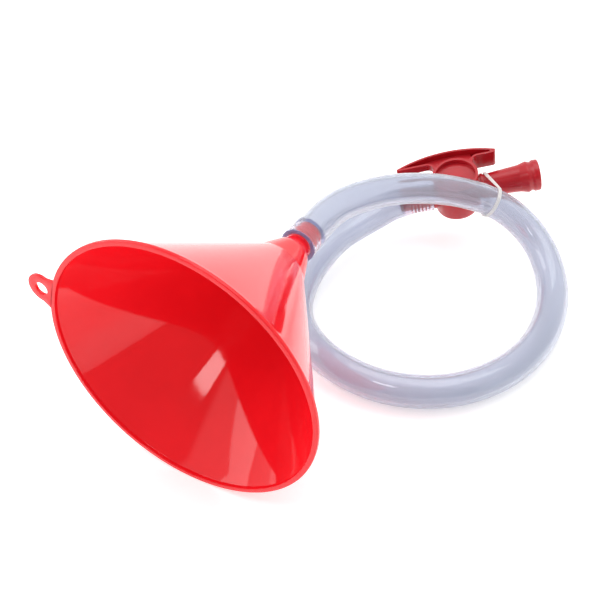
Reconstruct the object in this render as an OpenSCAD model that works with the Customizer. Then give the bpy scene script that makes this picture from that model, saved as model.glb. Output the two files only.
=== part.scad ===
// Drinking funnel: a wide moulded funnel, a clear hose in one loop and a quarter-turn lever valve.
// Millimetres. The origin is the centre of the funnel's mouth, +Y runs along the funnel's axis
// towards its spout and +Z points up. The rim stands on the surface at z = -mouth_r.

/* [Funnel] */
// Outer radius of the rim
mouth_r = 95; // [90:0.5:100]
// Width of the flat rim flange
rim_w = 3.4; // [2.5:0.1:5]
// Thickness of the rim flange
rim_t = 2.4; // [1.6:0.1:3]
// Wall thickness of the cone
wall_t = 1.6; // [1.2:0.1:2]
// Length from the mouth to the kink where the neck starts
cone_len = 117; // [110:1:120]
// Outer radius at the kink
kink_r = 23.5; // [21:0.5:26]
// Length of the neck, from the kink to the shoulder
neck_len = 24; // [20:1:26]
// Outer radius at the shoulder
shoulder_r = 13.8; // [13:0.1:15]
// Length of the spout beyond the shoulder
spout_len = 27; // [24:1:30]
// Bore radius of the spout
spout_bore_r = 7.8; // [7:0.1:8.2]

/* [Hang tab] */
// Angle of the hang tab round the rim, from +X towards +Z
tab_angle = 162; // [120:1:200]
// Distance from the mouth's centre to the tab's hole
tab_hole_at = 102; // [100:0.5:104]
// Radius of the tab's round end
tab_r = 10.3; // [8:0.1:12]
// Radius of the tab's hole
tab_hole_r = 4.5; // [3:0.1:5]
// Thickness of the tab
tab_t = 2; // [1.5:0.1:2.4]

/* [Hose] */
// Outer radius of the hose
hose_r = 12.7; // [12.4:0.1:13]
// Bore radius of the hose
hose_bore_r = 9.5; // [9.3:0.1:9.8]

/* [Valve] */
// Outer radius of the barrel
barrel_r = 19.6; // [19:0.1:20]
// Depth of the barrel below the flow axis
barrel_low = 17.5; // [17:0.1:19]
// Height of the barrel above the flow axis
barrel_top = 12; // [11.5:0.1:12.2]
// Radius of the plug that turns in the barrel
plug_r = 15.95; // [15.95:0.01:15.97]
// Radius of the water way through the plug
way_r = 6.5; // [5:0.1:7]
// Radius of the barb and of the spout between their ribs
barb_r = 9.6; // [9.3:0.1:9.8]
// How far a rib stands out
rib_h = 0.6; // [0.4:0.1:0.9]

/* [Lever] */
// Radius of the hub, whose rim is raised
hub_r = 20; // [19.6:0.1:20.2]
// Height of the hub's rim and of the lever's walls above the flow axis
lever_top = 21; // [20:0.5:23]
// Thickness of the lever's walls
lever_wall = 1.8; // [1.4:0.1:2.2]
// Quarter turn from open to closed, in degrees
lever_turn = 0; // [0:1:90]

/* [Cable tie] */
// Width of the tie's strap
tie_w = 2.8; // [2.5:0.1:4.8]
// Thickness of the tie's strap
tie_t = 1.2; // [1:0.1:1.5]

/* [Hidden] */
$fn = 96;
eps = 0.01;

// Places along the funnel's axis
shoulder_y = cone_len + neck_len;
spout_end_y = shoulder_y + spout_len;
hose_start_y = shoulder_y + 10;

// The valve's frame: x along the flow, z along the plug's axis, origin on both
valve_at = [55.6, 347.9, -45.9];
valve_yaw = 28.3;
valve_pitch = 13.2;
valve_roll = 14;
barb_x = -52;
collar_x = -22;
flow_dir = [cos(valve_pitch) * cos(valve_yaw), cos(valve_pitch) * sin(valve_yaw), sin(valve_pitch)];

// The hose's route, by its centreline, from the spout round the loop and up to the barb
route = concat(
    [[0, hose_start_y, 0], [0, 176, 0], [2, 217, -2], [24, 264, -8], [61, 305, -20],
     [100, 330, -38], [135, 326, -57], [162, 295, -74], [172, 245, -81], [162, 191, -82],
     [131, 147, -82], [85, 126, -82], [35, 132, -82], [-5, 160, -81], [-23, 207, -78],
     [-22, 260, -72], [-6, 302, -68]],
    [for (x = [-48.5, collar_x]) valve_at + x * flow_dir]);
hose_sides = 12;
rings_per_span = 4;

// A point on the smooth curve through p0..p3, between p1 (t = 0) and p2 (t = 1)
function curve_point(p0, p1, p2, p3, t) =
    0.5 * (2 * p1 + t * (p2 - p0) + t * t * (2 * p0 - 5 * p1 + 4 * p2 - p3)
           + t * t * t * (3 * p1 - p0 - 3 * p2 + p3));
last = len(route) - 1;
function span_end(i) = i < 0 ? 2 * route[0] - route[1]
    : i > last ? 2 * route[last] - route[last - 1] : route[i];
function hose_point(i, t) =
    curve_point(span_end(i - 1), route[i], route[i + 1], span_end(i + 2), t);
hose_line = concat(
    [for (i = [0:last - 1], k = [0:rings_per_span - 1]) hose_point(i, k / rings_per_span)],
    [route[last]]);
ring_count = len(hose_line);
function unit(v) = v / norm(v);
function line_dir(i) = i == 0 ? [0, 1, 0] : i == ring_count - 1 ? flow_dir
    : unit(hose_line[i + 1] - hose_line[i - 1]);
// Ring i's side vector, carried along the line so that the tube never twists
function side_from(prev, i) = unit(prev - (prev * line_dir(i)) * line_dir(i));
function side_list(i, v) =
    i == ring_count - 1 ? [v] : concat([v], side_list(i + 1, side_from(v, i + 1)));
hose_side = side_list(0, [1, 0, 0]);
function hose_ring(i, r) = let (a = hose_side[i], b = cross(line_dir(i), a))
    [for (k = [0:hose_sides - 1])
        hose_line[i] + r * (cos(360 * k / hose_sides) * a + sin(360 * k / hose_sides) * b)];

// Puts a part of the valve, drawn in the valve's frame, in its place
module in_valve() {
    translate(valve_at)
        rotate([0, 0, valve_yaw])
            rotate([0, -valve_pitch, 0])
                rotate([valve_roll, 0, 0])
                    children();
}

// Turns the lever's group about the plug's axis
module turned() {
    in_valve()
        rotate([0, 0, lever_turn])
            children();
}

// A shape drawn as [radius, distance along +X], turned about the flow axis
module about_flow() {
    rotate([0, 90, 0])
        rotate_extrude()
            children();
}

// The outline points of one rib, from x = at
function rib_points(at, r, pitch) =
    [[r, at], [r + rib_h, at + 0.3 * pitch], [r + rib_h, at + 0.5 * pitch], [r, at + 0.8 * pitch]];

// Funnel: rim, cone, neck, shoulder and ribbed spout in one moulding, with a hang tab
spout_ribs = 4;
spout_rib_pitch = 3.2;
module funnel() {
    lip_r = mouth_r - rim_w;
    outer = concat(
        [[lip_r + 0.5, 0], [mouth_r - 0.7, 0], [mouth_r - 0.2, 0.2], [mouth_r, 0.7],
         [mouth_r, rim_t - 0.6], [mouth_r - 0.6, rim_t], [lip_r + wall_t, rim_t + 0.4],
         [kink_r, cone_len], [shoulder_r, shoulder_y - 0.4], [shoulder_r - 0.4, shoulder_y],
         [barb_r, shoulder_y]],
        [for (i = [0:spout_ribs - 1]) each
            rib_points(hose_start_y + 1.5 + i * spout_rib_pitch, barb_r, spout_rib_pitch)],
        [[barb_r, spout_end_y - 1], [barb_r - 0.5, spout_end_y]]);
    inner = [[spout_bore_r, spout_end_y], [spout_bore_r, shoulder_y - 1.5],
             [shoulder_r - wall_t, shoulder_y - 4.5], [kink_r - 1.2 * wall_t, cone_len],
             [lip_r, rim_t], [lip_r, 0.5]];
    color("red")
        difference() {
            union() {
                rotate([-90, 0, 0])
                    rotate_extrude($fn = 180)
                        polygon(concat(outer, inner));
                hang_tab();
            }
            rotate([0, -tab_angle, 0])
                translate([tab_hole_at, -eps, 0])
                    rotate([-90, 0, 0])
                        cylinder(r = tab_hole_r, h = tab_t + 2 * eps);
        }
}

module hang_tab() {
    root_at = mouth_r - 1.5;
    root_half = 12.5;
    waist_half = 0.98 * tab_r;
    rotate([0, -tab_angle, 0])
        rotate([-90, 0, 0])
            linear_extrude(tab_t)
                union() {
                    translate([tab_hole_at, 0])
                        circle(r = tab_r);
                    polygon([[root_at, -root_half], [tab_hole_at - 0.2 * tab_r, -waist_half],
                             [tab_hole_at - 0.2 * tab_r, waist_half], [root_at, root_half]]);
                }
}

// Hose: one swept tube, its wall open at both ends
module hose() {
    outer_pts = [for (i = [0:ring_count - 1]) each hose_ring(i, hose_r)];
    inner_pts = [for (i = [0:ring_count - 1]) each hose_ring(i, hose_bore_r)];
    inner_at = ring_count * hose_sides;
    sides = [for (i = [0:ring_count - 2], k = [0:hose_sides - 1])
        let (n = (k + 1) % hose_sides, a = i * hose_sides, b = a + hose_sides)
            each [[a + k, b + k, b + n, a + n],
                  [inner_at + a + k, inner_at + a + n, inner_at + b + n, inner_at + b + k]]];
    ends = [for (k = [0:hose_sides - 1])
        let (n = (k + 1) % hose_sides, b = (ring_count - 1) * hose_sides)
            each [[k, n, inner_at + n, inner_at + k],
                  [b + n, b + k, inner_at + b + k, inner_at + b + n]]];
    color([0.82, 0.84, 0.92, 0.5])
        polyhedron(points = concat(outer_pts, inner_pts), faces = concat(sides, ends), convexity = 8);
}

// Valve body: hose barb, collar, barrel and outlet stub in one moulding
seal_pocket_r = 9.05;
seal_back_x = 18.3;
bore_r = 16;
collar_r = 12;
collar_len = 3;
stub_r = 8.6;
stub_end_x = 40;
joint_x = 24;
flow_r = 6.8;
barb_ribs = 8;
barb_rib_pitch = 3.2;
ring_seat_z = 9.8;
ring_groove_r = 17;
module valve_body() {
    barb_outline = concat(
        [[flow_r, barb_x], [barb_r - 0.8, barb_x], [barb_r, barb_x + 1.2]],
        [for (i = [0:barb_ribs - 1]) each
            rib_points(barb_x + 2 + i * barb_rib_pitch, barb_r, barb_rib_pitch)],
        [[barb_r, collar_x], [collar_r, collar_x], [collar_r, collar_x + collar_len],
         [barb_r + 0.6, collar_x + collar_len], [barb_r + 0.6, -10], [flow_r, -10]]);
    stub_outline = [[flow_r, 10], [barb_r + 0.3, 10], [barb_r + 0.3, joint_x - 2.5],
                    [barb_r + 1.4, joint_x - 2.5], [barb_r + 1.4, joint_x], [stub_r, joint_x],
                    [stub_r, stub_end_x - 0.5], [stub_r - 0.5, stub_end_x], [flow_r, stub_end_x]];
    color("firebrick")
        in_valve()
            difference() {
                union() {
                    translate([0, 0, -barrel_low])
                        rotate_extrude()
                            polygon([[0, 0], [barrel_r - 1.2, 0], [barrel_r - 0.35, 0.35],
                                     [barrel_r, 1.2], [barrel_r, barrel_low + barrel_top],
                                     [0, barrel_low + barrel_top]]);
                    about_flow()
                        polygon(barb_outline);
                    about_flow()
                        polygon(stub_outline);
                }
                translate([0, 0, plug_floor_z - 0.05])
                    cylinder(r = bore_r, h = barrel_top - plug_floor_z + 1);
                translate([0, 0, ring_seat_z])
                    cylinder(r = ring_groove_r, h = 1.5);
                rotate([0, 90, 0])
                    cylinder(r = flow_r, h = 2 * stub_end_x, center = true);
                rotate([0, 90, 0])
                    cylinder(r = seal_pocket_r, h = 2 * seal_back_x, center = true);
            }
}

// Mouthpiece: pushed over the body's stub, it widens to a bead, a groove and a lip
mouth_x = 72.6;
outlet_r = 10.5;
outlet_len = 12;
module mouthpiece() {
    color("firebrick")
        in_valve()
            about_flow()
                polygon([[stub_r + 0.02, joint_x], [barb_r + 0.3, joint_x], [10.3, 32], [10.8, 38],
                         [11.4, 47], [12, 55.5], [12.6, 59], [13.8, 61.6], [13.9, 62.6], [13.4, 63.8],
                         [12.5, 65.2], [12.5, 66.2], [13.5, 67.4], [13.8, 68.8], [13.8, 71.2],
                         [13.4, 72.2], [12.6, mouth_x], [outlet_r, mouth_x],
                         [outlet_r, mouth_x - outlet_len], [outlet_r + 0.3, mouth_x - outlet_len],
                         [outlet_r + 0.3, mouth_x - outlet_len - 0.5],
                         [outlet_r, mouth_x - outlet_len - 0.8], [flow_r + 1, stub_end_x + 6],
                         [flow_r + 1, stub_end_x + 0.5], [stub_r + 0.02, stub_end_x + 0.5]]);
}

// Plug: a cylinder with a cross way, two ring grooves and a square boss for the lever
plug_floor_z = -14.9;
plug_top_z = ring_seat_z - 0.05;
lower_oring_z = -11.8;
lower_oring_r = 1.2;
groove_r = plug_r - 2 * lower_oring_r - 0.05;
groove_w = 2.6;
boss_w = 9;
boss_top_z = 15.4;
neck_r = 10;
upper_oring_z = 10.75;
upper_oring_r = 0.95;
module valve_plug() {
    color("firebrick")
        turned()
            difference() {
                union() {
                    translate([0, 0, plug_floor_z])
                        cylinder(r = plug_r, h = plug_top_z - plug_floor_z);
                    cylinder(r = neck_r, h = barrel_top + 0.2);
                    translate([-boss_w / 2, -boss_w / 2, 0])
                        cube([boss_w, boss_w, boss_top_z]);
                }
                rotate([0, 90, 0])
                    cylinder(r = way_r, h = 3 * plug_r, center = true);
                translate([0, 0, lower_oring_z])
                    ring_groove();
            }
}

module ring_groove() {
    difference() {
        cylinder(r = plug_r + 1, h = groove_w, center = true);
        cylinder(r = groove_r, h = groove_w + 1, center = true);
    }
}

// O-ring on the plug's shoulder, round its neck and inside the retaining ring
module upper_oring() {
    oring(upper_oring_z, neck_r + upper_oring_r + 0.02, upper_oring_r);
}

// O-ring in the plug's groove, below the cross way
module lower_oring() {
    oring(lower_oring_z, plug_r - lower_oring_r, lower_oring_r);
}

module oring(z, ring_r, section_r) {
    color("dimgray")
        turned()
            translate([0, 0, z])
                rotate_extrude()
                    translate([ring_r, 0])
                        circle(r = section_r, $fn = 32);
}

// Port seals: rubber rings in the barrel's pockets, each faced to the plug
module port_seal(side) {
    color("whitesmoke")
        in_valve()
            rotate([0, 0, side > 0 ? 0 : 180])
                difference() {
                    rotate([0, 90, 0])
                        difference() {
                            cylinder(r = seal_pocket_r - 0.05, h = seal_back_x);
                            translate([0, 0, -1])
                                cylinder(r = way_r, h = seal_back_x + 2);
                        }
                    cylinder(r = plug_r + 0.04, h = 60, center = true);
                }
}

module inlet_seal() {
    port_seal(-1);
}

module outlet_seal() {
    port_seal(1);
}

// Retaining ring: snapped into the barrel's mouth over the plug's shoulder
module retaining_ring() {
    inner_r = neck_r + 2 * upper_oring_r + 0.07;
    outer_r = ring_groove_r - 0.05;
    color("firebrick")
        in_valve()
            translate([0, 0, ring_seat_z])
                rotate_extrude()
                    polygon([[inner_r, 0], [outer_r, 0], [outer_r, 1.15], [bore_r - 0.1, 1.4],
                             [bore_r - 0.1, 2], [inner_r, 2]]);
}

// Lever: a cup-shaped hub and a long bowed handle beside it, both open on their upper side
hub_low = barrel_top + 0.3;
hub_floor_z = 17;
hub_rim_w = 2.4;
arm_low = 13.9;
arm_floor = 1.3;
pad_low = 4.4;
pad_from_x = 16;
pad_from_y = 12.5;
bow_r = 108;
bow_centre = [-3, -78];
near_y = 17.8;
left_x = -49.5;
right_x = 39;
fillet_r = 6;
end_r = 3;
module lever() {
    color("firebrick")
        turned()
            difference() {
                union() {
                    translate([0, 0, hub_low])
                        cylinder(r = hub_r, h = lever_top - hub_low);
                    translate([0, 0, arm_low])
                        linear_extrude(lever_top - arm_low)
                            handle_outline(0);
                    translate([0, 0, pad_low])
                        linear_extrude(lever_top - pad_low)
                            pad_outline(0);
                }
                translate([0, 0, arm_low + arm_floor])
                    linear_extrude(lever_top)
                        difference() {
                            handle_outline(lever_wall);
                            circle(r = hub_r + eps);
                        }
                translate([0, 0, pad_low + lever_wall])
                    linear_extrude(lever_top)
                        difference() {
                            pad_outline(lever_wall);
                            circle(r = hub_r + lever_wall);
                        }
                translate([0, 0, hub_low - lever_top])
                    cylinder(r = barrel_r + 0.6, h = lever_top);
                translate([0, 0, hub_floor_z])
                    cylinder(r = hub_r - hub_rim_w, h = lever_top);
                translate([0, 0, boss_top_z - 10 + 0.05])
                    cube([boss_w + 0.1, boss_w + 0.1, 20], center = true);
            }
}

// The handle's whole plan, and the part of it that is deeper, as a pad for the thumb
module handle_outline(inset) {
    bow_outline(inset);
    hub_fillets(inset);
}

module pad_outline(inset) {
    intersection() {
        handle_outline(inset);
        translate([pad_from_x + inset, pad_from_y + inset])
            square([right_x, 40]);
    }
}

// The handle's plan: the slice of a large circle beyond a straight edge, drawn in by "inset",
// with a thicker end wall on the right
module bow_outline(inset) {
    intersection() {
        translate(bow_centre)
            circle(r = bow_r - inset, $fn = 360);
        union() {
            translate([left_x + inset, near_y + inset])
                square([right_x - end_r - left_x - 2 * inset, 40]);
            if (inset == 0)
                translate([right_x - end_r, near_y + end_r])
                    circle(r = end_r);
        }
    }
}

// Blends the handle's straight edge into the hub on both sides, drawn in by "inset"
module hub_fillets(inset) {
    fillet_x = sqrt(pow(hub_r + fillet_r, 2) - pow(near_y - fillet_r, 2));
    low_y = hub_r * (near_y - fillet_r) / (hub_r + fillet_r);
    difference() {
        translate([-fillet_x, low_y])
            square([2 * fillet_x, near_y + lever_wall + eps - low_y]);
        for (s = [-1, 1])
            translate([s * fillet_x, near_y - fillet_r])
                circle(r = fillet_r + inset);
    }
}

// Cable tie: one strap round the hose and the mouthpiece, twisted between them, and its head
tie_x = 26.7;
tie_span = 4;
tie_along = 0.81;
tie_gap = 0.3;
arc_steps = 12;
strand_steps = 4;
mouthpiece_r_at_tie = 10.15;
tie_on_mouthpiece = valve_at + tie_x * flow_dir;
tie_on_hose = hose_point(tie_span, tie_along);
tie_hose_dir = unit(hose_point(tie_span, tie_along + 0.02) - hose_point(tie_span, tie_along - 0.02));
tie_across = unit(tie_on_hose - tie_on_mouthpiece);

// One station of the strap: [point on its inner face, outward direction, direction of its width]
function arc_station(centre, axis, out, r, a) =
    let (n = unit(out - (out * axis) * axis), dir = cos(a) * n + sin(a) * cross(axis, n))
        [centre + r * dir, dir, axis];
function between(a, b, t) =
    [a[0] + t * (b[0] - a[0]), unit(a[1] + t * (b[1] - a[1])), unit(a[2] + t * (b[2] - a[2]))];
function mouthpiece_station(a) = arc_station(tie_on_mouthpiece, flow_dir, -tie_across,
                                             mouthpiece_r_at_tie + tie_gap, a);
function hose_station(a) =
    arc_station(tie_on_hose, tie_hose_dir, tie_across, hose_r + tie_gap, a);
tie_stations = concat(
    [for (k = [0:arc_steps]) mouthpiece_station(-90 + 180 * k / arc_steps)],
    [for (k = [1:strand_steps - 1])
        between(mouthpiece_station(90), hose_station(-90), k / strand_steps)],
    [for (k = [0:arc_steps]) hose_station(-90 + 180 * k / arc_steps)],
    [for (k = [1:strand_steps - 1])
        between(hose_station(90), mouthpiece_station(-90), k / strand_steps)]);
function strap_corners(st, w, low, high) =
    [st[0] + low * st[1] - w / 2 * st[2], st[0] + low * st[1] + w / 2 * st[2],
     st[0] + high * st[1] + w / 2 * st[2], st[0] + high * st[1] - w / 2 * st[2]];

tie_head_w = 5.6;
tie_head_len = 6;
tie_head_h = 4.4;
module cable_tie() {
    n = len(tie_stations);
    head_at = tie_stations[n - strand_steps / 2];
    along = cross(head_at[2], head_at[1]);
    head_ends = [for (s = [-1, 1])
        [head_at[0] + s * tie_head_len / 2 * along, head_at[1], head_at[2]]];
    color("ivory")
        union() {
            polyhedron(
                points = [for (st = tie_stations) each strap_corners(st, tie_w, 0, tie_t)],
                faces = [for (i = [0:n - 1], k = [0:3])
                    let (a = 4 * i, b = 4 * ((i + 1) % n), m = (k + 1) % 4)
                        each [[a + k, b + k, b + m], [a + k, b + m, a + m]]],
                convexity = 6);
            polyhedron(
                points = [for (st = head_ends)
                    each strap_corners(st, tie_head_w, -0.6, tie_head_h - 0.6)],
                faces = [[0, 1, 2, 3], [7, 6, 5, 4], [4, 5, 1, 0], [5, 6, 2, 1], [6, 7, 3, 2],
                         [7, 4, 0, 3]]);
        }
}

funnel();
hose();
cable_tie();
valve_body();
mouthpiece();
valve_plug();
upper_oring();
lower_oring();
inlet_seal();
outlet_seal();
retaining_ring();
lever();
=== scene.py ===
"""Drinking funnel with a looped clear hose and a quarter-turn lever valve.

Everything is in metres in the model's own frame: the origin is the centre of the funnel's mouth,
+Y runs along the funnel's axis to its spout, +Z is up and the surface lies at z = -0.095.
"""
import math
import bmesh
import bpy
import numpy as np
from mathutils import Matrix


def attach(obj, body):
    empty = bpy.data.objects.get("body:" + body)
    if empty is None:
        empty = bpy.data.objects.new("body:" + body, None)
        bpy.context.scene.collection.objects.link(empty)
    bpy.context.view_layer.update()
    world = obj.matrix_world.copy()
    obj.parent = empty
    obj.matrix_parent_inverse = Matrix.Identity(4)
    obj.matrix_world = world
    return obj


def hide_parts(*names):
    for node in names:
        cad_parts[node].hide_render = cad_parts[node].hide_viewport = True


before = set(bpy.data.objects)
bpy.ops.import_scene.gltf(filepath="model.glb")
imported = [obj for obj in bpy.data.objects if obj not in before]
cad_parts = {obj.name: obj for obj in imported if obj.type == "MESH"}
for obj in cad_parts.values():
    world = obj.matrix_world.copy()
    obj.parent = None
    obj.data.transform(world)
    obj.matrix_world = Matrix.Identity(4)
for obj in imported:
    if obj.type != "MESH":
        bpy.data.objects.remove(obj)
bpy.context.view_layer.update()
scene = bpy.context.scene
MM = 0.001

# ---------------------------------------------------------------------------------------------
# Camera: a plain lens looking down on the funnel from in front and to the right, with no shift.
camera_data = bpy.data.cameras.new("camera")
camera_data.lens = 47.06
camera_data.sensor_width = 36.0
camera_data.clip_start = 0.01
camera = bpy.data.objects.new("camera", camera_data)
camera.location = (0.2262, -0.2598, 0.3421)
camera.rotation_euler = (math.radians(49.6), 0.0, math.radians(28.1))
scene.collection.objects.link(camera)
scene.camera = camera
scene.view_settings.view_transform = "Standard"

# ---------------------------------------------------------------------------------------------
# Hose: clear flexible vinyl tube, extruded, 1 in outside and 3/4 in inside, cut square. It is
# stretched over the funnel's spout and the valve's barb, and lies in one loop between them.


class Sock:
    """A shader value: arithmetic on it adds Math nodes to its material's tree."""

    def __init__(self, tree, socket):
        self.tree = tree
        self.socket = socket

    def _math(self, operation, *values):
        return node(self.tree, "ShaderNodeMath", {"operation": operation}, *values)

    def __add__(self, other):
        return self._math("ADD", self, other)

    __radd__ = __add__

    def __mul__(self, other):
        return self._math("MULTIPLY", self, other)

    __rmul__ = __mul__


def node(tree, kind, settings, *values, out=0, **named):
    """Adds a node: its settings first, then its sockets by order or by name; returns an output."""
    made = tree.nodes.new(kind)
    for key, value in settings.items():
        if key == "stops":
            ramp = made.color_ramp
            while len(ramp.elements) < len(value):
                ramp.elements.new(0.5)
            for element, (place, colour) in zip(ramp.elements, value):
                element.position = place
                element.color = colour if len(colour) == 4 else (*colour, 1.0)
        else:
            setattr(made, key, value)
    sockets = list(zip(range(len(values)), values))
    sockets += [(key.replace("_", " "), value) for key, value in named.items()]
    for key, value in sockets:
        if value is None:
            continue
        if isinstance(value, Sock):
            tree.links.new(value.socket, made.inputs[key])
        else:
            made.inputs[key].default_value = value
    return Sock(tree, made.outputs[out])


def new_material(name):
    """Returns (material, tree, shader) with a Principled BSDF joined to the output."""
    made = bpy.data.materials.new(name)
    made.use_nodes = True
    tree = made.node_tree
    tree.nodes.clear()
    output = tree.nodes.new("ShaderNodeOutputMaterial")
    shader = tree.nodes.new("ShaderNodeBsdfPrincipled")
    tree.links.new(shader.outputs[0], output.inputs["Surface"])
    return made, tree, shader


def feed(tree, shader, **sockets):
    """Sets constants on a shader's sockets and links the values that vary."""
    for key, value in sockets.items():
        key = key.replace("_", " ")
        if isinstance(value, Sock):
            tree.links.new(value.socket, shader.inputs[key])
        else:
            shader.inputs[key].default_value = value


def grid_faces(rows, cols, close_rows=False, close_cols=False):
    """Quads of a rows x cols grid whose point (i, j) is number i * cols + j, wrapped as told."""
    i = np.arange(rows if close_rows else rows - 1)[:, None]
    j = np.arange(cols if close_cols else cols - 1)[None, :]
    i2 = (i + 1) % rows
    j2 = (j + 1) % cols
    quads = np.stack([i * cols + j, i2 * cols + j, i2 * cols + j2, i * cols + j2], axis=-1)
    return quads.reshape(-1, 4)


def make_piece(name, points, faces, uv=None, sharp=None):
    """A smooth-shaded mesh object at the origin from arrays of points and of quads."""
    mesh = bpy.data.meshes.new(name)
    mesh.from_pydata(points.reshape(-1, 3).tolist(), [], faces.tolist())
    mesh.polygons.foreach_set("use_smooth", np.ones(len(mesh.polygons), bool))
    if uv is not None:
        layer = mesh.uv_layers.new(name="UVMap")
        corner = np.empty(len(mesh.loops), np.int32)
        mesh.loops.foreach_get("vertex_index", corner)
        layer.data.foreach_set("uv", uv.reshape(-1, 2)[corner].astype(np.float32).ravel())
    if sharp is not None:
        mesh.set_sharp_from_angle(angle=math.radians(sharp))
    mesh.update()
    made = bpy.data.objects.new(name, mesh)
    scene.collection.objects.link(made)
    return made


valve_yaw, valve_pitch, valve_roll = np.radians([28.3, 13.2, 14.0])
flow_dir = np.array([math.cos(valve_pitch) * math.cos(valve_yaw),
                     math.cos(valve_pitch) * math.sin(valve_yaw), math.sin(valve_pitch)])
valve_at = np.array([55.6, 347.9, -45.9])
barb_end_x, collar_x = -48.5, -22.0
route = np.array(
    [[0, 151, 0], [0, 176, 0], [2, 217, -2], [24, 264, -8], [61, 305, -20], [100, 330, -38],
     [135, 326, -57], [162, 295, -74], [172, 245, -81], [162, 191, -82], [131, 147, -82],
     [85, 126, -82], [35, 132, -82], [-5, 160, -81], [-23, 207, -78], [-22, 260, -72],
     [-6, 302, -68], valve_at + barb_end_x * flow_dir, valve_at + collar_x * flow_dir], float)


def smooth_route(points, per_span=40, soften=9.0, step=1.0):
    """A cubic through the route's points, with a Gaussian running mean "soften" wide taken along
    it so that its curvature has no jumps, then spaced evenly every "step"; the ends stay put."""
    ends = np.vstack([2 * points[0] - points[1], points, 2 * points[-1] - points[-2]])
    t = (np.arange(per_span) / per_span)[None, :, None]
    a, b, c, d = (ends[k:len(ends) - 3 + k][:, None, :] for k in range(4))
    line = 0.5 * (2 * b + t * (c - a) + t ** 2 * (2 * a - 5 * b + 4 * c - d)
                  + t ** 3 * (3 * b - a - 3 * c + d))
    line = np.vstack([line.reshape(-1, 3), points[-1:]])
    run = np.r_[0, np.cumsum(np.linalg.norm(np.diff(line, axis=0), axis=1))]
    even = np.linspace(0, run[-1], int(run[-1] / step) + 1)
    line = np.stack([np.interp(even, run, line[:, k]) for k in range(3)], axis=1)
    reach = int(3 * soften / step)
    weight = np.exp(-0.5 * (np.arange(-reach, reach + 1) * step / soften) ** 2)
    weight /= weight.sum()
    before = 2 * line[0] - line[reach:0:-1]
    after = 2 * line[-1] - line[-2:-reach - 2:-1]
    padded = np.vstack([before, line, after])
    line = np.stack([np.convolve(padded[:, k], weight, "valid") for k in range(3)], axis=1)
    run = np.r_[0, np.cumsum(np.linalg.norm(np.diff(line, axis=0), axis=1))]
    even = np.linspace(0, run[-1], int(run[-1] / step) + 1)
    line = np.stack([np.interp(even, run, line[:, k]) for k in range(3)], axis=1)
    return line, even


def step_down(x, start, end):
    """1 before start, 0 after end and a smooth S between them."""
    t = np.clip((x - start) / (end - start), 0, 1)
    return 1 - t * t * (3 - 2 * t)


hose_line, hose_run = smooth_route(route)
hose_length = hose_run[-1]
hose_r, hose_bore_r, cut_edge_r = 12.7, 9.5, 0.35
ring_step, ease_len, rib_pitch, grip_wave = 2.0, 9.0, 3.2, 0.1
spout_cover, barb_cover = 17.0, 30.0
swell_by = 0.74


def hose_swell(s):
    """How far the wall is pushed out at length s: full over both fittings, with a faint wave
    where it grips each rib, easing to nothing a little past them."""
    from_end = hose_length - s
    over_spout = step_down(s, spout_cover, spout_cover + ease_len)
    over_barb = step_down(from_end, barb_cover, barb_cover + ease_len)
    wave = grip_wave * np.cos(2 * np.pi * s / rib_pitch)
    return swell_by * (over_spout + over_barb) + wave * (over_spout + over_barb)


def hose_surface(around):
    """The wall as one closed sheet: point (s, r, angle) is line(s) + r * (cos, sin) in the plane
    across the line; s runs out along the outside, over the rounded cut end, back along the bore
    and over the other cut."""
    line_dir = np.gradient(hose_line, axis=0)
    line_dir /= np.linalg.norm(line_dir, axis=1, keepdims=True)
    side = np.cross(line_dir, [0.0, 0.0, 1.0])
    side /= np.linalg.norm(side, axis=1, keepdims=True)
    lift = np.cross(side, line_dir)
    inner = np.arange(3, hose_length - 2, ring_step)
    edge = cut_edge_r
    bend = np.linspace(0, np.pi / 2, 4)
    end_s = np.r_[hose_length - edge + edge * np.sin(bend)]
    out_s = np.r_[edge - edge * np.sin(bend[::-1]), inner, end_s]
    out_r = np.r_[hose_r - edge + edge * np.cos(bend[::-1]), np.full(len(inner), hose_r),
                  hose_r - edge + edge * np.cos(bend)]
    keep = np.r_[:8, 8:len(out_s) - 8:2, len(out_s) - 8:len(out_s)]
    in_s = out_s[keep][::-1]
    in_r = hose_r + hose_bore_r - out_r[keep][::-1]
    s = np.r_[out_s, in_s]
    r = np.r_[out_r, in_r] + hose_swell(s)
    angle = np.linspace(0, 2 * np.pi, around, endpoint=False)
    at = [np.interp(s, hose_run, v[:, k]) for v in (hose_line, side, lift) for k in range(3)]
    centre, across, up = (np.stack(at[3 * k:3 * k + 3], axis=1)[:, None, :] for k in range(3))
    ring = (np.cos(angle)[None, :, None] * across + np.sin(angle)[None, :, None] * up)
    points = (centre + r[:, None, None] * ring) * MM
    uv = np.stack(np.broadcast_arrays(s[:, None] / hose_length, angle[None, :] / (2 * np.pi)),
                  axis=-1)
    return points, grid_faces(len(s), around, close_rows=True, close_cols=True), uv, s


hose_sides = 128
hose_points, hose_faces, hose_uv, hose_rings = hose_surface(hose_sides)
hose = make_piece("clear_hose", hose_points, hose_faces, hose_uv, sharp=50)

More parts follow.
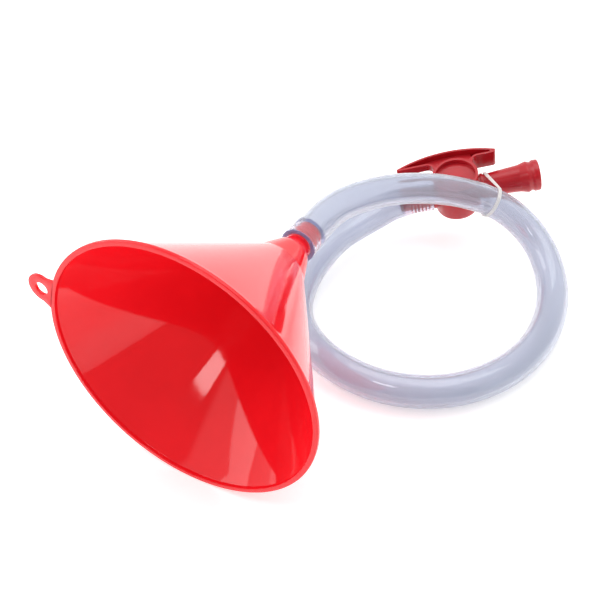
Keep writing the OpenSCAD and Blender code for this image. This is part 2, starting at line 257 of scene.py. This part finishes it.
# The free tube is milky; over the spout and the barb the wall is taut, so it is clearer there.
for name, tint, clearness, thick in (
        ("clear_vinyl", (0.77, 0.80, 0.875, 1.0), 0.80, 16.0),
        ("clear_vinyl_tight", (0.92, 0.85, 0.95, 1.0), 0.95, 8.0)):
    vinyl, tree, shader = new_material(name)
    place = node(tree, "ShaderNodeTexCoord", {}, out="Object")
    haze = node(tree, "ShaderNodeTexNoise", {}, Vector=place, Scale=38.0, Detail=4.0)
    strands = node(tree, "ShaderNodeMapping", {}, node(tree, "ShaderNodeUVMap", {}),
                   Scale=(4.0, 60.0, 1.0))
    lines = node(tree, "ShaderNodeTexNoise", {}, Vector=strands, Scale=1.0, Detail=2.0)
    relief = node(tree, "ShaderNodeBump", {}, Strength=0.05, Distance=0.0002, Height=lines)
    feed(tree, shader, Base_Color=tint, Roughness=0.11 + 0.06 * haze, IOR=1.35,
         Transmission_Weight=clearness, Coat_Weight=0.7, Coat_Roughness=0.03, Normal=relief)
    wall_tint = tree.nodes.new("ShaderNodeVolumeAbsorption")
    wall_tint.inputs["Color"].default_value = (0.25, 0.30, 0.80, 1.0)
    wall_tint.inputs["Density"].default_value = thick
    tree.links.new(wall_tint.outputs[0], tree.nodes["Material Output"].inputs["Volume"])
    hose.data.materials.append(vinyl)

cut_face, tree, shader = new_material("clear_vinyl_cut")
place = node(tree, "ShaderNodeTexCoord", {}, out="Object")
saw_marks = node(tree, "ShaderNodeTexNoise", {}, Vector=place, Scale=700.0, Detail=3.0)
milky = node(tree, "ShaderNodeValToRGB",
             {"stops": [(0.3, (0.19, 0.24, 0.50)), (0.7, (0.30, 0.35, 0.62))]}, saw_marks)
feed(tree, shader, Base_Color=milky, Roughness=0.30 + 0.15 * saw_marks, Transmission_Weight=0.2)
hose.data.materials.append(cut_face)
cut_margin = 0.3
free_wall, tight_wall, cut_wall = 0, 1, 2
sheet_s = hose_rings[np.arange(len(hose.data.polygons)) // hose_sides]
at_cut = (sheet_s < cut_margin) | (sheet_s > hose_length - cut_margin)
tight = (sheet_s < spout_cover) | (sheet_s > hose_length - barb_cover)
which = np.where(at_cut, cut_wall, np.where(tight, tight_wall, free_wall))
hose.data.polygons.foreach_set("material_index", which.astype(np.int32))
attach(hose, "frame")
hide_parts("hose")
tuple(hose_line[0] * MM)
(hose_line[::4] * MM).tolist()

# ---------------------------------------------------------------------------------------------
# Funnel: one injection moulding in glossy red plastic, with a flat rim flange, a thin cone, a
# steeper neck, a flat shoulder and a ribbed spout, plus a small tab with a hole to hang it by.
rim_r, lip_r, rim_t, wall_t = 95.0, 91.6, 2.4, 1.6
kink_r, kink_y, shoulder_r, shoulder_y = 23.5, 117.0, 13.8, 141.0
spout_r, spout_bore_r, spout_end_y = 9.6, 7.8, 168.0


def rounded_profile(corners, arc=5, straight=6.0):
    """A closed outline with its corners (a, b, radius) turned into arcs: each arc leaves and
    joins its two edges at radius * tan(half the turn) from the corner, and long edges are cut
    into pieces no longer than "straight"."""
    p = np.array([c[:2] for c in corners], float)
    radius = np.array([c[2] for c in corners], float)
    back = np.roll(p, 1, axis=0) - p
    ahead = np.roll(p, -1, axis=0) - p
    back_len = np.linalg.norm(back, axis=1)
    ahead_len = np.linalg.norm(ahead, axis=1)
    back /= back_len[:, None]
    ahead /= ahead_len[:, None]
    turn = np.pi - np.arccos(np.clip((back * ahead).sum(1), -1, 1))
    reach = np.minimum(radius * np.tan(turn / 2), 0.45 * np.minimum(back_len, ahead_len))
    t = np.linspace(0, 1, arc)[None, :, None]
    start = (p + back * reach[:, None])[:, None, :]
    end = (p + ahead * reach[:, None])[:, None, :]
    middle = p[:, None, :]
    weight = np.cos(turn / 2)[:, None, None]
    conic = (1 - t) ** 2 + 2 * t * (1 - t) * weight + t ** 2
    arcs = ((1 - t) ** 2 * start + 2 * t * (1 - t) * weight * middle + t ** 2 * end) / conic
    out = []
    for k in range(len(p)):
        a, b = arcs[k, -1], arcs[(k + 1) % len(p), 0]
        pieces = max(1, int(np.linalg.norm(b - a) / straight))
        between = a + (b - a) * (np.arange(1, pieces) / pieces)[:, None]
        out += [arcs[k], between]
    return np.vstack(out)


def lathe(profile, around, axis_at, axis, first):
    """Turns a closed outline of (radius, distance along the axis): point (k, angle) is
    axis_at + distance * axis + radius * (cos(angle) * first + sin(angle) * second)."""
    axis = np.asarray(axis, float)
    first = np.asarray(first, float)
    second = np.cross(axis, first)
    angle = np.linspace(0, 2 * np.pi, around, endpoint=False)
    ring = np.cos(angle)[:, None] * first + np.sin(angle)[:, None] * second
    points = (np.asarray(axis_at, float) + profile[:, 1, None, None] * axis
              + profile[:, 0, None, None] * ring)
    return points * MM, grid_faces(len(profile), around, close_rows=True, close_cols=True)


def rib_row(at, r, count, pitch, height):
    """Corners of a row of low rounded ribs, on radius r from "at" along the axis."""
    starts = at + pitch * np.arange(count)
    rows = [[(r, y, 0.3), (r + height, y + 0.3 * pitch, 0.4), (r + height, y + 0.5 * pitch, 0.4),
             (r, y + 0.8 * pitch, 0.3)] for y in starts]
    return [corner for row in rows for corner in row]


funnel_corners = (
    [(lip_r, 0, 0.45), (rim_r, 0, 0.6), (rim_r, rim_t, 0.6), (lip_r + wall_t, rim_t + 0.4, 0.6),
     (kink_r, kink_y, 6.0), (shoulder_r, shoulder_y, 0.5), (spout_r, shoulder_y, 0.5)]
    + rib_row(152.5, spout_r, 4, 3.2, 0.6)
    + [(spout_r, spout_end_y, 0.6), (spout_bore_r, spout_end_y, 0.4),
       (spout_bore_r, shoulder_y - 1.5, 1.5), (shoulder_r - wall_t, shoulder_y - 4.5, 1.5),
       (kink_r - 1.2 * wall_t, kink_y, 1.5), (lip_r, rim_t, 0.8)])
cone_points, cone_faces = lathe(rounded_profile(funnel_corners), 320, (0, 0, 0), (0, 1, 0),
                                (1, 0, 0))
funnel = make_piece("funnel_shell", cone_points, cone_faces)

tab_angle = math.radians(162)
tab_hole_at, tab_r, tab_hole_r, tab_t = 102.0, 10.3, 4.5, 2.0


def tab_surface(around=120, e=0.45):
    """The tab as a ring of plate round its hole: point (k, angle) lies at hole radius + a *
    (outline - hole radius) + b, where (a, b, height) runs round the plate's section with its
    four edges rounded by e. The outline is the round end, then the nearer of the two sides that
    widen to the rim and the root line inside the rim's edge."""
    angle = np.linspace(0, 2 * np.pi, around, endpoint=False)
    c, s = np.cos(angle), np.abs(np.sin(angle))
    side = 61.66 / np.maximum(2.5 * c + 6.6 * s, 1e-3)
    root = 8.6 / np.maximum(-c, 1e-3)
    outline = np.where(c > -0.2, tab_r, np.minimum(side, root))
    bend = np.linspace(0, np.pi / 2, 4)
    inset, height = e * (1 - np.cos(bend)), tab_t - e * (1 - np.sin(bend))
    hole_top = np.stack([np.zeros(4), inset, height], 1)
    outer_top = np.stack([np.ones(4), -inset, height], 1)[::-1]
    outer_low = np.stack([np.ones(4), -inset, tab_t - height], 1)
    hole_low = np.stack([np.zeros(4), inset, tab_t - height], 1)[::-1]
    section = np.vstack([hole_top, outer_top, outer_low, hole_low])
    rho = tab_hole_r + section[:, 0, None] * (outline - tab_hole_r) + section[:, 1, None]
    x = tab_hole_at + rho * np.cos(angle)
    z = rho * np.sin(angle)
    y = np.broadcast_to(section[:, 2, None], x.shape)
    ct, st = math.cos(tab_angle), math.sin(tab_angle)
    points = np.stack([x * ct - z * st, y, x * st + z * ct], axis=-1)
    return points * MM, grid_faces(len(section), around, close_rows=True, close_cols=True)


tab = make_piece("hang_tab", *tab_surface(), sharp=40)

red_gloss, tree, shader = new_material("funnel_plastic")
place = node(tree, "ShaderNodeTexCoord", {}, out="Object")
mottle = node(tree, "ShaderNodeTexNoise", {}, Vector=place, Scale=22.0, Detail=3.0)
orange_peel = node(tree, "ShaderNodeTexNoise", {}, Vector=place, Scale=420.0, Detail=2.0)
wear = node(tree, "ShaderNodeTexNoise", {}, Vector=place, Scale=150.0, Detail=6.0, Roughness=0.7)
red = node(tree, "ShaderNodeValToRGB",
           {"stops": [(0.3, (0.80, 0.006, 0.012)), (0.7, (0.88, 0.009, 0.016))]}, mottle)
relief = node(tree, "ShaderNodeBump", {}, Strength=0.03, Distance=0.0002,
              Height=orange_peel + 0.3 * mottle)
# Light that soaks through the thin wall is given as a weak glow of the plastic's own red.
thin_wall_glow = 0.08
feed(tree, shader, Base_Color=red, Roughness=0.03 + 0.05 * wear, IOR=1.5,
     Specular_IOR_Level=0.42, Subsurface_Weight=0.08, Subsurface_Scale=0.003,
     Subsurface_Radius=(1.0, 0.15, 0.1), Emission_Color=(1.0, 0.02, 0.04, 1.0),
     Emission_Strength=thin_wall_glow, Normal=relief)
for piece in (funnel, tab):
    piece.data.materials.append(red_gloss)
    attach(piece, "frame")
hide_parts("funnel")

# ---------------------------------------------------------------------------------------------
# Valve body: one moulding in satin red plastic: a round barrel closed below, a ribbed hose barb
# with a collar on the inlet side, and an outlet stub that the mouthpiece is pushed on to.


def turn_about(axis, angle):
    """The 3 x 3 matrix that turns by angle about x, y or z (axis 0, 1 or 2)."""
    c, s = math.cos(angle), math.sin(angle)
    made = np.eye(3)
    a, b = [(1, 2), (2, 0), (0, 1)][axis]
    made[a, a] = made[b, b] = c
    made[a, b], made[b, a] = -s, s
    return made


valve_turn = (turn_about(2, valve_yaw) @ turn_about(1, -valve_pitch)
              @ turn_about(0, valve_roll))
valve_far = valve_turn[:, 1]


def softened_copy(cad_name, name, bevel):
    """The CAD node's own shape as one welded mesh, flat faces cleaned of their diagonals, with
    every crease of more than 35 degrees rounded by "bevel" millimetres."""
    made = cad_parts[cad_name].copy()
    made.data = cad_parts[cad_name].data.copy()
    made.name = made.data.name = name
    made.parent = None
    for key in list(made.keys()):
        del made[key]
    scene.collection.objects.link(made)
    work = bmesh.new()
    work.from_mesh(made.data)
    bmesh.ops.remove_doubles(work, verts=work.verts, dist=2e-6)
    bmesh.ops.dissolve_limit(work, angle_limit=math.radians(0.3), verts=work.verts,
                             edges=work.edges)
    work.to_mesh(made.data)
    work.free()
    made.data.polygons.foreach_set("use_smooth", np.ones(len(made.data.polygons), bool))
    edge = made.modifiers.new("edge", "BEVEL")
    edge.width = bevel * MM
    edge.segments = 3
    edge.limit_method = "ANGLE"
    edge.angle_limit = math.radians(35)
    edge.harden_normals = True
    edge.use_clamp_overlap = True
    made.data.materials.clear()
    return made


body = softened_copy("valve_body", "valve_housing", 0.35)

valve_red, tree, shader = new_material("valve_plastic")
place = node(tree, "ShaderNodeTexCoord", {}, out="Object")
mottle = node(tree, "ShaderNodeTexNoise", {}, Vector=place, Scale=60.0, Detail=3.0)
grain = node(tree, "ShaderNodeTexNoise", {}, Vector=place, Scale=900.0, Detail=2.0)
red = node(tree, "ShaderNodeValToRGB",
           {"stops": [(0.3, (0.46, 0.007, 0.015)), (0.7, (0.54, 0.010, 0.020))]}, mottle)
relief = node(tree, "ShaderNodeBump", {}, Strength=0.10, Distance=0.0002, Height=grain)
feed(tree, shader, Base_Color=red, Roughness=0.20 + 0.10 * mottle, IOR=1.5,
     Subsurface_Weight=0.05, Subsurface_Scale=0.002, Subsurface_Radius=(1.0, 0.15, 0.1),
     Normal=relief)
body.data.materials.append(valve_red)
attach(body, "frame")
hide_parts("valve_body")

# ---------------------------------------------------------------------------------------------
# Mouthpiece: a moulded round sleeve in the same red plastic, pushed over the body's stub. It
# widens gently to a bead, a groove and a rounded lip.
stub_r, joint_x, stub_end_x, mouth_x = 8.62, 24.0, 40.5, 72.6
outlet_r, outlet_len, inner_r = 10.5, 12.0, 7.8
mouth_corners = [
    (stub_r, joint_x, 0.2), (9.9, joint_x, 0.3), (10.3, 32, 8), (10.8, 38, 12), (11.4, 47, 12),
    (12.0, 55.5, 5), (13.9, 62.2, 2.0), (12.5, 65.7, 0.9), (13.8, 67.8, 1.2),
    (13.8, mouth_x, 1.3), (outlet_r, mouth_x, 0.5), (outlet_r, mouth_x - outlet_len, 0.1),
    (outlet_r + 0.3, mouth_x - outlet_len - 0.4, 0.1), (outlet_r, mouth_x - outlet_len - 0.8, 0.5),
    (inner_r, 46.5, 3.0), (inner_r, stub_end_x, 0.2), (stub_r, stub_end_x, 0.1)]
points, faces = lathe(rounded_profile(mouth_corners, arc=6), 128, valve_at, flow_dir, valve_far)
mouthpiece = make_piece("mouthpiece_sleeve", points, faces, sharp=50)
mouthpiece.data.materials.append(valve_red)
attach(mouthpiece, "frame")
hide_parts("mouthpiece")

# ---------------------------------------------------------------------------------------------
# Inside the barrel: the plug with its water way, its two O-rings, the two port seals and the
# snap-in retaining ring. The plug and rings are moulded, the seals and O-rings are rubber.
inner_plastic = (("valve_plug", "plug_core", "lever"),
                 ("retaining_ring", "snap_ring", "frame"))
for cad_name, name, rides in inner_plastic:
    piece = softened_copy(cad_name, name, 0.2)
    piece.data.materials.append(valve_red)
    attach(piece, rides)
    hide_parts(cad_name)

rubber, tree, shader = new_material("seal_rubber")
place = node(tree, "ShaderNodeTexCoord", {}, out="Object")
dust = node(tree, "ShaderNodeTexNoise", {}, Vector=place, Scale=300.0, Detail=4.0)
dark = node(tree, "ShaderNodeValToRGB",
            {"stops": [(0.3, (0.012, 0.012, 0.013)), (0.8, (0.030, 0.030, 0.032))]}, dust)
relief = node(tree, "ShaderNodeBump", {}, Strength=0.12, Distance=0.0002, Height=dust)
feed(tree, shader, Base_Color=dark, Roughness=0.45 + 0.2 * dust, Normal=relief)
for cad_name in ("upper_oring", "lower_oring", "inlet_seal", "outlet_seal"):
    cad_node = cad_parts[cad_name]
    cad_node.data.materials.clear()
    cad_node.data.materials.append(rubber)

# ---------------------------------------------------------------------------------------------
# Lever: a cup-shaped hub on the plug's square boss, with a long bowed handle along one side of
# it. Both are hollow on their upper side, as thin-walled mouldings are.
lever = softened_copy("lever", "valve_lever", 0.45)
lever.data.materials.append(valve_red)
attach(lever, "lever")
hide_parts("lever")

# ---------------------------------------------------------------------------------------------
# Cable tie: natural nylon, a thin strap pulled round the hose and the mouthpiece, with
# its square locking head underneath and its tail cut off short.
tie = softened_copy("cable_tie", "nylon_tie", 0.2)
nylon, tree, shader = new_material("tie_nylon")
place = node(tree, "ShaderNodeTexCoord", {}, out="Object")
cloud = node(tree, "ShaderNodeTexNoise", {}, Vector=place, Scale=250.0, Detail=3.0)
milk = node(tree, "ShaderNodeValToRGB",
            {"stops": [(0.3, (0.80, 0.79, 0.77)), (0.7, (0.90, 0.89, 0.87))]}, cloud)
relief = node(tree, "ShaderNodeBump", {}, Strength=0.1, Distance=0.0002, Height=cloud)
# The strap is given a faint white glow: painted light that lightens the whole tie evenly.
feed(tree, shader, Base_Color=milk, Roughness=0.30 + 0.1 * cloud, Transmission_Weight=0.5,
     IOR=1.4, Emission_Color=(1.0, 1.0, 1.0, 1.0), Emission_Strength=0.12, Normal=relief)
tie.data.materials.append(nylon)
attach(tie, "frame")
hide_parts("cable_tie")

# ---------------------------------------------------------------------------------------------
# Studio: a white floor in a white room whose wall behind the camera is darker, one large soft
# light above and behind, one to the left, and a narrow one over the funnel's mouth.
floor_z = -0.0951
floor_half = 6.0
corners = np.array([[-1, -1], [1, -1], [1, 1], [-1, 1]]) * floor_half
floor_points = np.column_stack([corners, np.full(4, floor_z)])
floor = make_piece("floor", floor_points, np.array([[0, 1, 2, 3]]))
paper, tree, shader = new_material("floor_paper")
place = node(tree, "ShaderNodeTexCoord", {}, out="Object")
fleck = node(tree, "ShaderNodeTexNoise", {}, Vector=place, Scale=12.0, Detail=2.0)
white = node(tree, "ShaderNodeValToRGB",
             {"stops": [(0.0, (0.93, 0.93, 0.93)), (1.0, (0.95, 0.95, 0.95))]}, fleck)
feed(tree, shader, Base_Color=white, Roughness=0.9, Specular_IOR_Level=0.1,
     Emission_Color=(1.0, 1.0, 1.0, 1.0), Emission_Strength=0.42)
floor.data.materials.append(paper)

world = bpy.data.worlds.new("room")
world.use_nodes = True
tree = world.node_tree
room_way = node(tree, "ShaderNodeTexCoord", {}, out="Generated")
# The wall behind the camera: a round patch of the room, a third as bright as the rest.
dim_height, dim_heading = np.radians([20, -69])
dim_way = (math.cos(dim_height) * math.cos(dim_heading),
           math.cos(dim_height) * math.sin(dim_heading), math.sin(dim_height))
facing = node(tree, "ShaderNodeVectorMath", {"operation": "DOT_PRODUCT"}, room_way, dim_way,
              out="Value")
wall = node(tree, "ShaderNodeValToRGB",
            {"stops": [(0.59, (1.0, 1.0, 1.0)), (0.64, (0.32, 0.32, 0.32))]}, facing)
tree.links.new(wall.socket, tree.nodes["Background"].inputs["Color"])
tree.nodes["Background"].inputs["Strength"].default_value = 1.0
scene.world = world


def soft_light(name, at, towards, size, power, spin=0.0):
    """A rectangular area light at "at" that faces "towards", spun about the line between them."""
    data = bpy.data.lights.new(name, "AREA")
    data.shape = "RECTANGLE"
    data.size, data.size_y = size
    data.energy = power
    made = bpy.data.objects.new(name, data)
    away = np.array(at, float) - np.array(towards, float)
    away /= np.linalg.norm(away)
    made.location = at
    aim = (Matrix.Rotation(math.atan2(away[1], away[0]) + math.pi / 2, 3, "Z")
           @ Matrix.Rotation(math.acos(away[2]), 3, "X") @ Matrix.Rotation(spin, 3, "Z"))
    made.rotation_euler = aim.to_euler()
    scene.collection.objects.link(made)


soft_light("top_box", (0.1, 0.5, 1.1), (0.05, 0.15, -0.05), (1.0, 0.8), 3.5)
soft_light("left_box", (-1.0, -0.1, 0.7), (0.0, 0.1, 0.0), (0.7, 0.9), 4.0)
soft_light("strip", (0.052, -0.233, 0.515), (-0.018, 0.062, -0.052), (0.20, 0.075), 0.36,
           math.radians(-18))
